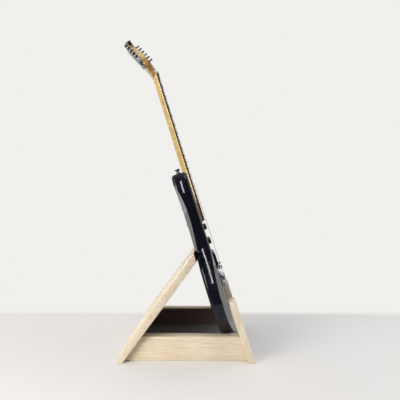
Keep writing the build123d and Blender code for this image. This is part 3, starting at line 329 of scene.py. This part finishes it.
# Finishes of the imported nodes: bright plate where none is named, grey metal on the tuners
node_finish = {
    "stand_left_rail": pine_x, "stand_right_rail": pine_x, "stand_back_board": pine_y,
    "stand_left_upright": pine_up, "stand_right_upright": pine_up, "stand_base_panel": pine_x,
    "stand_screws": steel, "stand_back_pad": leather, "stand_base_felt": grey_felt,
    "stand_rail_felts": brown_felt, "stand_upright_felts": pale_felt,
    "body": navy, "neck": maple, "truss_rod": steel, "headstock_veneer": dark_face,
    "fretboard": board_wood, "frets": nickel, "position_dots": pearl, "string_nut": bone,
    "strings": wire, "pickup_neck": black_plastic, "pickup_middle": black_plastic,
    "pickup_bridge": black_plastic, "pickup_ring": black_plastic, "pickup_pole_pieces": nickel,
    "saddle_height_screws": steel, "intonation_screws": steel, "potentiometers": steel,
    "volume_shaft": steel, "tone_shaft": steel, "output_jack": steel, "selector_switch": steel,
    "control_cover": black_plastic, "strap_buttons": smoked_nickel,
}
for name, node in nodes.items():
    usual = tuner_metal if name.startswith("tuner_") else chrome
    node.data.materials.clear()
    node.data.materials.append(node_finish.get(name, usual))

bpy.ops.object.select_all(action="DESELECT")


def choose(obj):
    """Makes a piece the only one selected, and the active one."""
    bpy.ops.object.select_all(action="DESELECT")
    obj.select_set(True)
    bpy.context.view_layer.objects.active = obj


def apply_modifier(obj, kind, **settings):
    """Adds a modifier with its settings and applies it to the mesh."""
    choose(obj)
    modifier = obj.modifiers.new(kind.lower(), kind)
    for key, value in settings.items():
        setattr(modifier, key, value)
    bpy.ops.object.modifier_apply(modifier=modifier.name)


def settle(obj, body, finish, slot_name, *stands_for):
    """Puts a finished piece on its body with its finish; the slot name it is given is not used."""
    obj.data.materials.clear()
    obj.data.materials.append(finish)
    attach(obj, body)
    if stands_for:
        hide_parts(*stands_for)


def copy_of(node_name, name):
    """A merged copy of a node, ready to be shaped further."""
    obj = nodes[node_name].copy()
    obj.data = nodes[node_name].data.copy()
    obj.name = name
    obj.parent = None
    scene.collection.objects.link(obj)
    choose(obj)
    bpy.ops.object.mode_set(mode="EDIT")
    bpy.ops.mesh.select_all(action="SELECT")
    bpy.ops.mesh.remove_doubles(threshold=1e-6)
    bpy.ops.object.mode_set(mode="OBJECT")
    return obj


def eased(node_name, name, body, finish, slot_name, width):
    """A node with its sharp edges eased, as sandpaper or a polishing wheel leaves them."""
    obj = copy_of(node_name, name)
    apply_modifier(obj, "DECIMATE", decimate_type="DISSOLVE", angle_limit=math.radians(1.0))
    apply_modifier(obj, "BEVEL", width=width, segments=2, limit_method="ANGLE",
                   angle_limit=math.radians(40), use_clamp_overlap=True)
    choose(obj)
    bpy.ops.object.shade_smooth_by_angle(angle=math.radians(35))
    settle(obj, body, finish, slot_name, node_name)


# Boards of the stand, with sanded edges
SANDED_EDGE = 0.0012
for part, finish in (("left_rail", pine_x), ("right_rail", pine_x), ("back_board", pine_y),
                     ("left_upright", pine_up), ("right_upright", pine_up), ("base_panel", pine_x)):
    eased(f"stand_{part}", f"{part}_sanded", "stand", finish, "pine", SANDED_EDGE)

# Felt that lines the tray and the uprights: soft sheets cut to the wood they lie on
FELT_THICKNESS = 0.002
FELT_BODY = 0.9              # share of that thickness between the loose fibres
FELT_GAP = 0.0006            # sheet's edge to the wood beside it
FELT_ROUND = 0.0006
FELT_RIPPLE = 0.0002
FELT_WAVES = ((23.0, 9.0), (-6.0, 17.0))  # radians along and up a sheet, of two crossing waves
RAIL_FELT_LOW = 0.007
UPRIGHT_FELT_FOOT = 0.061
UPRIGHT_FELT_LENGTH = 0.080
UPRIGHT_FELT_HALF_WIDTH = 0.0185
rail_low, rail_high = corners_of("stand_right_rail")
upright_low, upright_high = corners_of("stand_right_upright")
base_low, base_high = corners_of("stand_base_felt")
TRAY_HALF_LENGTH = rail_high[0]
TRAY_HALF_WIDTH = rail_low[1]
UPRIGHT_MIDDLE = (upright_low[1] + upright_high[1]) / 2
BASE_FELT_LEVEL = (base_low[2] + base_high[2]) / 2
RAIL_FELT_HIGH = corners_of("stand_rail_felts")[1][2]


def front_x(z):
    """Inner face of the uprights at a height."""
    return TRAY_HALF_LENGTH - z * math.tan(LEAN)


def back_x(z):
    """Inner face of the back board at a height."""
    return z * math.tan(BACK_LEAN) - TRAY_HALF_LENGTH


def felt_sheet(name, corners, cells, finish):
    """A felt sheet between four corners, a little uneven, with worn round edges."""
    low_left, low_right, high_right, high_left = (Vector(c) for c in corners)
    bpy.ops.mesh.primitive_grid_add(x_subdivisions=cells[0], y_subdivisions=cells[1], size=1.0)
    obj = bpy.context.active_object
    obj.name = name
    face = (low_right - low_left).cross(high_left - low_left).normalized()
    for vertex in obj.data.vertices:
        s, t = vertex.co.x + 0.5, vertex.co.y + 0.5
        place = (low_left.lerp(low_right, s)).lerp(high_left.lerp(high_right, s), t)
        ripple = math.prod(math.sin(s * along + t * up) for along, up in FELT_WAVES)
        vertex.co = place + face * ripple * FELT_RIPPLE
    apply_modifier(obj, "SOLIDIFY", thickness=FELT_THICKNESS * FELT_BODY, offset=0.0)
    apply_modifier(obj, "BEVEL", width=FELT_ROUND, segments=2, limit_method="ANGLE",
                   angle_limit=math.radians(50))
    choose(obj)
    bpy.ops.object.shade_smooth_by_angle(angle=math.radians(45))
    settle(obj, "stand", finish, "felt")
    return obj


base_side = TRAY_HALF_WIDTH - FELT_GAP
base_back = back_x(BASE_FELT_LEVEL) + FELT_GAP
base_front = front_x(BASE_FELT_LEVEL) - FELT_GAP
base_sheet = felt_sheet(
    "base_felt_sheet",
    [(base_back, -base_side, BASE_FELT_LEVEL), (base_front, -base_side, BASE_FELT_LEVEL),
     (base_front, base_side, BASE_FELT_LEVEL), (base_back, base_side, BASE_FELT_LEVEL)],
    (60, 44), grey_felt,
)
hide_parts("stand_base_felt")
for label, sign in (("left", -1), ("right", 1)):
    y = sign * (TRAY_HALF_WIDTH - FELT_THICKNESS / 2)
    rail_sheet = felt_sheet(
        f"{label}_rail_felt_sheet",
        [(back_x(RAIL_FELT_LOW) + FELT_GAP, y, RAIL_FELT_LOW),
         (front_x(RAIL_FELT_LOW) - FELT_GAP, y, RAIL_FELT_LOW),
         (front_x(RAIL_FELT_HIGH) - FELT_GAP, y, RAIL_FELT_HIGH),
         (back_x(RAIL_FELT_HIGH) + FELT_GAP, y, RAIL_FELT_HIGH)],
        (60, 12), brown_felt,
    )
    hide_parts("stand_rail_felts")
    side = ACROSS * (UPRIGHT_FELT_HALF_WIDTH - FELT_GAP)
    foot = Vector((front_x(UPRIGHT_FELT_FOOT), sign * UPRIGHT_MIDDLE, UPRIGHT_FELT_FOOT))
    foot -= OUT_FRONT * FELT_THICKNESS / 2
    top = foot + UP_NECK * UPRIGHT_FELT_LENGTH
    upright_sheet = felt_sheet(
        f"{label}_upright_felt_sheet",
        [foot - side, foot + side, top + side, top - side],
        (10, 22), pale_felt,
    )
    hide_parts("stand_upright_felts")

# Leather pad folded over the back board's top, soft and lightly creased
PAD_VOXEL = 0.0013
PAD_CREASE = 0.00012
PAD_WAVES = ((260.0, 190.0), (97.0, 0.0))  # radians per metre along Y and Z
PAD_SINK = 0.0001
pad = copy_of("stand_back_pad", "leather_pad")
apply_modifier(pad, "REMESH", mode="VOXEL", voxel_size=PAD_VOXEL)
apply_modifier(pad, "SMOOTH", factor=0.5, iterations=6)
for vertex in pad.data.vertices:
    crease = math.prod(math.sin(vertex.co.y * a + vertex.co.z * b) for a, b in PAD_WAVES)
    vertex.co += vertex.normal * (crease * PAD_CREASE - PAD_SINK)
choose(pad)
bpy.ops.object.shade_smooth()
settle(pad, "stand", leather, "leather", "stand_back_pad")

# Neck and head face with smooth shading over merged copies
for node_name, name, finish, slot_name in (
    ("neck", "amber_neck", maple, "maple"),
    ("headstock_veneer", "dark_head_face", dark_face, "head_face"),
):
    smooth_piece = copy_of(node_name, name)
    bpy.ops.object.shade_smooth_by_angle(angle=math.radians(32))
    settle(smooth_piece, "guitar", finish, slot_name, node_name)

# Castings and mouldings with their edges eased
for node_name, name, finish, slot_name, width in (
    ("tuner_housings", "cast_tuner_housings", tuner_metal, "chrome", 0.0009),
    ("bridge_plate", "polished_bridge_plate", chrome, "chrome", 0.0004),
    ("bridge_saddles", "polished_saddles", chrome, "chrome", 0.0003),
    ("neck_plate", "polished_neck_plate", chrome, "chrome", 0.0005),
    ("pickup_ring", "eased_pickup_ring", black_plastic, "black_plastic", 0.0005),
    ("pickup_bridge", "eased_bridge_pickup", black_plastic, "black_plastic", 0.0005),
):
    eased(node_name, name, "guitar", finish, slot_name, width)

# Knobs: fluted chrome with a dished top
KNOB_RADIUS = 0.0093
KNOB_HEIGHT = 0.016
KNOB_FLUTES = 36
KNOB_SEAT = 0.001            # knob's underside over the body's front
KNOB_TOP_STEPS = ((0.0012, 0.0006), (0.0014, -0.0007), (0.0030, -0.0004))  # inset and rise of each
FLUTE_MARGIN = 0.00022
FLUTE_DEPTH = 0.00035


def fluted_knob(name, seat):
    """A knob with a dished top and flutes cut into every other side face."""
    bpy.ops.mesh.primitive_cylinder_add(
        vertices=KNOB_FLUTES * 2, radius=KNOB_RADIUS, depth=KNOB_HEIGHT,
        location=(0, 0, KNOB_HEIGHT / 2))
    obj = bpy.context.active_object
    obj.name = name
    choose(obj)
    bpy.ops.object.transform_apply(location=True)
    bpy.ops.object.mode_set(mode="EDIT")
    bpy.ops.mesh.select_mode(type="FACE")
    mesh = bmesh.from_edit_mesh(obj.data)
    bpy.ops.mesh.select_all(action="DESELECT")
    for face in mesh.faces:
        face.select = face.normal.z > 0.9
    bmesh.update_edit_mesh(obj.data)
    for inset, rise in KNOB_TOP_STEPS:
        bpy.ops.mesh.inset(thickness=inset)
        bpy.ops.transform.translate(value=(0, 0, rise))
    mesh = bmesh.from_edit_mesh(obj.data)
    bpy.ops.mesh.select_all(action="DESELECT")
    for face in mesh.faces:
        centre = face.calc_center_median()
        turn = math.atan2(centre.y, centre.x)
        step = round(turn / math.tau * KNOB_FLUTES * 2 - 0.5)
        face.select = abs(face.normal.z) < 0.1 and step % 2 == 0
    bmesh.update_edit_mesh(obj.data)
    bpy.ops.mesh.inset(thickness=FLUTE_MARGIN, use_individual=True)
    bpy.ops.mesh.extrude_faces_move(TRANSFORM_OT_shrink_fatten={"value": -FLUTE_DEPTH})
    bpy.ops.object.mode_set(mode="OBJECT")
    bpy.ops.object.shade_smooth_by_angle(angle=math.radians(25))
    obj.data.transform(facing(seat, ACROSS, OUT_FRONT))
    return obj


for control in ("volume", "tone"):
    seat = pivot(f"{control}_turn") + OUT_FRONT * KNOB_SEAT
    knob = fluted_knob(f"{control}_fluted_knob", seat)
    settle(knob, control, chrome, "chrome", f"{control}_knob")

# String turns round the tuner posts
HEAD_OUT = Vector(joints["tuner_1_post"]["axis"])
STRING_RADII = (0.00058, 0.00046, 0.00033, 0.00022, 0.000165, 0.00013)
POST_WAIST = 0.0025
LOWEST_TURN = 0.0182           # up the post from its pivot
TURN_COUNT = 3
TURN_PITCH = 2.05              # turn to turn, in string radii
TURN_SWAY = 0.06               # radians, to one side and the other by turns
TURN_LEAN = 0.05
for number, radius in enumerate(STRING_RADII, start=1):
    post = pivot(f"tuner_{number}_post")
    turns = []
    for turn in range(TURN_COUNT):
        bpy.ops.mesh.primitive_torus_add(
            major_radius=POST_WAIST + radius, minor_radius=radius,
            major_segments=32, minor_segments=8,
            rotation=(TURN_SWAY * (-1) ** turn, TURN_LEAN, 0))
        ring = bpy.context.active_object
        bpy.ops.object.transform_apply(rotation=True)
        height = LOWEST_TURN + turn * radius * TURN_PITCH
        ring.data.transform(facing(post + HEAD_OUT * height, ACROSS, HEAD_OUT))
        ring.location = (0, 0, 0)
        turns.append(ring)
    bpy.ops.object.select_all(action="DESELECT")
    for ring in turns:
        ring.select_set(True)
    bpy.context.view_layer.objects.active = turns[0]
    bpy.ops.object.join()
    turns[0].name = f"string_turns_{number}"
    choose(turns[0])
    bpy.ops.object.shade_smooth()
    settle(turns[0], f"post_{number}", wire, "string_steel")

# Floor: plain in front, and as pale as the backdrop behind and far out
FLOOR_FRONT = -0.42
FLOOR_DEPTH = 4.0
NEAR_FLOOR_DEPTH = 3.6
FLOOR_WIDTH = 6.0
FLOOR_DROP = 0.0005
FLOOR_FADE = (0.215, 0.285)
ROUND_FADE = (0.95, 1.75)
BACKDROP_COLOUR = (0.875, 0.868, 0.845, 1.0)


def floor_sheet(name, front, depth):
    """A flat sheet of floor that starts at its front edge and runs back."""
    bpy.ops.mesh.primitive_plane_add(size=1.0, location=(0, 0.5, 0))
    sheet = bpy.context.active_object
    sheet.name = name
    choose(sheet)
    bpy.ops.object.transform_apply(location=True)
    size = Matrix.Diagonal((FLOOR_WIDTH, depth, 1, 1))
    sheet.data.transform(Matrix.Translation((0, front, -FLOOR_DROP)) @ size)
    return sheet


def smooth_step(tree, value, limits):
    """Goes gently from 0 to 1 between two limits."""
    step = tree.nodes.new("ShaderNodeMapRange")
    step.interpolation_type = "SMOOTHSTEP"
    step.inputs["From Min"].default_value, step.inputs["From Max"].default_value = limits
    tree.links.new(value, step.inputs["Value"])
    return step.outputs["Result"]


floor = floor_sheet("floor", FLOOR_FRONT, FLOOR_DEPTH)
near_floor = floor_sheet("near_floor", FLOOR_FRONT - NEAR_FLOOR_DEPTH, NEAR_FLOOR_DEPTH)
# The near floor is seen but neither mirrored nor bounced, so the gloss rim stays dark
near_floor.visible_diffuse = False
near_floor.visible_glossy = False
mat, tree, shader, place = start("floor_paint")
soft = noise(tree, place, 3.0, 2.0)
tree.links.new(
    ramp(tree, soft, [(0.3, (0.715, 0.695, 0.675)), (0.7, (0.735, 0.715, 0.695))]),
    shader.inputs["Base Color"],
)
shader.inputs["Roughness"].default_value = 0.8
shader.inputs["Specular IOR Level"].default_value = 0.2
floor_parts = tree.nodes.new("ShaderNodeSeparateXYZ")
tree.links.new(place, floor_parts.inputs["Vector"])
reach = tree.nodes.new("ShaderNodeVectorMath")
reach.operation = "LENGTH"
tree.links.new(place, reach.inputs[0])
floor_rays = tree.nodes.new("ShaderNodeLightPath")
round_fade = tree.nodes.new("ShaderNodeMath")
round_fade.operation = "MULTIPLY"
tree.links.new(smooth_step(tree, reach.outputs["Value"], ROUND_FADE), round_fade.inputs[0])
tree.links.new(floor_rays.outputs["Is Camera Ray"], round_fade.inputs[1])
fade = tree.nodes.new("ShaderNodeMath")
fade.operation = "MAXIMUM"
tree.links.new(smooth_step(tree, floor_parts.outputs["Y"], FLOOR_FADE), fade.inputs[0])
tree.links.new(round_fade.outputs["Value"], fade.inputs[1])
far_floor = tree.nodes.new("ShaderNodeEmission")
far_floor.inputs["Color"].default_value = BACKDROP_COLOUR
far_glow = spread(tree, floor_rays.outputs["Is Camera Ray"], 0.55, 1.0)
tree.links.new(far_glow, far_floor.inputs["Strength"])
floor_mix = tree.nodes.new("ShaderNodeMixShader")
tree.links.new(fade.outputs["Value"], floor_mix.inputs["Fac"])
tree.links.new(shader.outputs["BSDF"], floor_mix.inputs[1])
tree.links.new(far_floor.outputs["Emission"], floor_mix.inputs[2])
tree.links.new(floor_mix.outputs["Shader"], tree.nodes["Material Output"].inputs["Surface"])
for sheet in (floor, near_floor):
    sheet.data.materials.append(mat)

# Surroundings: pale all round, dim on the camera's side
ROOM_DEPTH = (-0.75, 0.15)     # the view direction's Y, from dim to pale
ROOM_DIM = (0.07, 0.07, 0.08, 1.0)
ROOM_PALE = (0.93, 0.95, 0.98, 1.0)
world = bpy.data.worlds.new("room")
scene.world = world
world.use_nodes = True
sky = world.node_tree
background = sky.nodes["Background"]
background.inputs["Strength"].default_value = 0.80
direction = sky.nodes.new("ShaderNodeTexCoord")
split_dir = sky.nodes.new("ShaderNodeSeparateXYZ")
sky.links.new(direction.outputs["Generated"], split_dir.inputs["Vector"])
depth = sky.nodes.new("ShaderNodeMapRange")
depth.inputs["From Min"].default_value, depth.inputs["From Max"].default_value = ROOM_DEPTH
sky.links.new(split_dir.outputs["Y"], depth.inputs["Value"])
room = sky.nodes.new("ShaderNodeValToRGB")
room.color_ramp.elements[0].color = ROOM_DIM
room.color_ramp.elements[1].color = ROOM_PALE
sky.links.new(depth.outputs["Result"], room.inputs["Fac"])
backdrop = sky.nodes.new("ShaderNodeBackground")
backdrop.inputs["Color"].default_value = BACKDROP_COLOUR
rays = sky.nodes.new("ShaderNodeLightPath")
seen = sky.nodes.new("ShaderNodeMixShader")
sky.links.new(room.outputs["Color"], background.inputs["Color"])
sky.links.new(rays.outputs["Is Camera Ray"], seen.inputs["Fac"])
sky.links.new(background.outputs["Background"], seen.inputs[1])
sky.links.new(backdrop.outputs["Background"], seen.inputs[2])
sky.links.new(seen.outputs["Shader"], sky.nodes["World Output"].inputs["Surface"])


# Lamps
def area_lamp(name, size, power, colour=(1, 1, 1)):
    """A rectangular lamp, still to be placed."""
    data = bpy.data.lights.new(name, "AREA")
    data.shape = "RECTANGLE"
    data.size, data.size_y = size
    data.energy = power
    data.color = colour
    obj = bpy.data.objects.new(name, data)
    scene.collection.objects.link(obj)
    return obj


def lamp(name, place, aim, size, power, colour):
    """A broad lamp at a place, turned towards a point."""
    obj = area_lamp(name, size, power, colour)
    obj.location = place
    obj.rotation_euler = (Vector(aim) - Vector(place)).to_track_quat("-Z", "Y").to_euler()


def strip_lamp(name, low_end, high_end, aim, width, power):
    """A narrow lamp whose long side runs from one point to another."""
    low_end, high_end = Vector(low_end), Vector(high_end)
    middle = (low_end + high_end) / 2
    long_side = (high_end - low_end).normalized()
    away = (middle - Vector(aim)).normalized()
    obj = area_lamp(name, (width, (high_end - low_end).length), power)
    obj.matrix_world = facing(middle, long_side.cross(away).normalized(), away)


lamp("window", (-1.5, -0.9, 1.6), (0, 0, 0.3), (1.2, 1.2), 8.0, (1.0, 0.98, 0.95))
lamp("ceiling", (0.0, -0.9, 2.2), (0, 0, 0.1), (1.0, 1.0), 13.0, (1.0, 0.99, 0.97))
lamp("low_window", (-1.6, -1.6, 0.75), (0, 0, 0.25), (1.2, 1.2), 38.0, (1.0, 0.99, 0.96))
lamp("right_wall", (1.7, 0.1, 0.9), (0, 0, 0.3), (1.6, 1.6), 10.0, (0.97, 0.98, 1.0))
strip_lamp("window_edge", (-0.23, -2.22, 0.92), (-0.50, -1.71, 1.78),
           (0.05, -0.14, 0.24), 0.008, 1.0)
